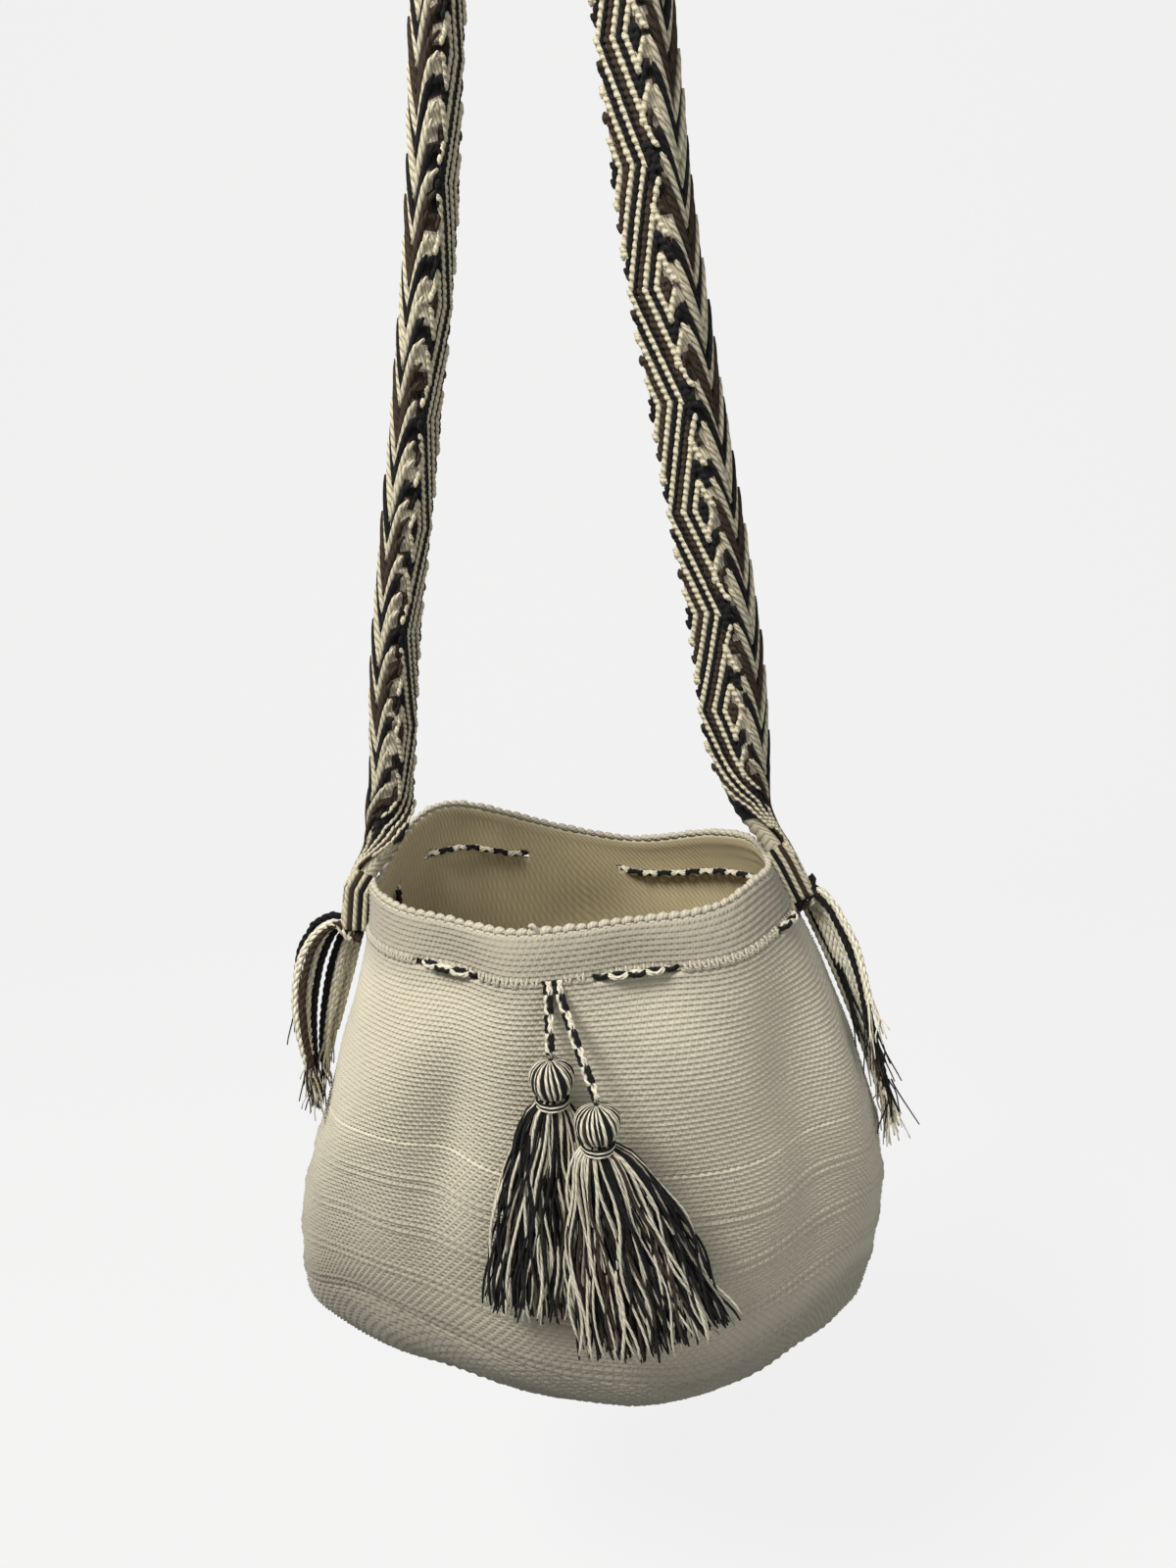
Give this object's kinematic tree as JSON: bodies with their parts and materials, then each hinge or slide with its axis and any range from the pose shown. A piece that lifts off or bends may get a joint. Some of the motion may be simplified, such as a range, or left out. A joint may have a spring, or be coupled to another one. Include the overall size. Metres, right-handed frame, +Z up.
{
  "type": "bag",
  "caption": "Crocheted cream bucket bag with a drawstring, two striped tassels and a long woven shoulder strap in cream, black and brown, with fringed ends",
  "frame": {"origin": "middle of the strap's inner underside at the top of its loop, where the strap hangs over its support", "axes": "+Z up, +X to the bag's right-hand side as its front is seen, the front with the tassels faces -Y"},
  "size_m": [0.322, 0.1984, 0.865],
  "materials": {
    "cream_crochet": "matt crocheted cotton yarn",
    "black_and_cream_yarn": "matt yarn in black, cream and dark brown",
    "woven_strap_yarn": "matt woven yarn in cream, black and dark brown, nested diamonds",
    "cream_fringe": "matt plied yarn",
    "black_fringe": "matt plied yarn",
    "brown_fringe": "matt plied yarn"
  },
  "bodies": {
    "bag": {"bag_body": "cream_crochet", "strap": "woven_strap_yarn", "drawstring": "black_and_cream_yarn", "left_fringe_cord_1": "cream_fringe", "left_fringe_cord_2": "black_fringe", "left_fringe_cord_3": "cream_fringe", "left_fringe_cord_4": "brown_fringe", "left_fringe_cord_5": "cream_fringe", "left_fringe_cord_6": "black_fringe", "left_fringe_cord_7": "cream_fringe", "left_fringe_cord_8": "cream_fringe", "right_fringe_cord_1": "cream_fringe", "right_fringe_cord_2": "black_fringe", "right_fringe_cord_3": "cream_fringe", "right_fringe_cord_4": "brown_fringe", "right_fringe_cord_5": "cream_fringe", "right_fringe_cord_6": "black_fringe", "right_fringe_cord_7": "cream_fringe", "right_fringe_cord_8": "cream_fringe"},
    "left_tassel_body": {"left_cord_end": "black_and_cream_yarn", "left_tassel": "black_and_cream_yarn", "left_tassel_binding": "cream_crochet"},
    "right_tassel_body": {"right_cord_end": "black_and_cream_yarn", "right_tassel": "black_and_cream_yarn", "right_tassel_binding": "cream_crochet"}
  },
  "joints": [
    {"name": "left_tassel_swing", "type": "hinge", "parent": "bag", "child": "left_tassel_body", "pos_m": [-0.01341, -0.07904, -0.58567], "axis": [0, 1, 0], "range_deg": [0, 35]},
    {"name": "right_tassel_swing", "type": "hinge", "parent": "bag", "child": "right_tassel_body", "pos_m": [-0.00825, -0.0784, -0.58567], "axis": [1, 0, 0], "range_deg": [-55, 0]}
  ]
}
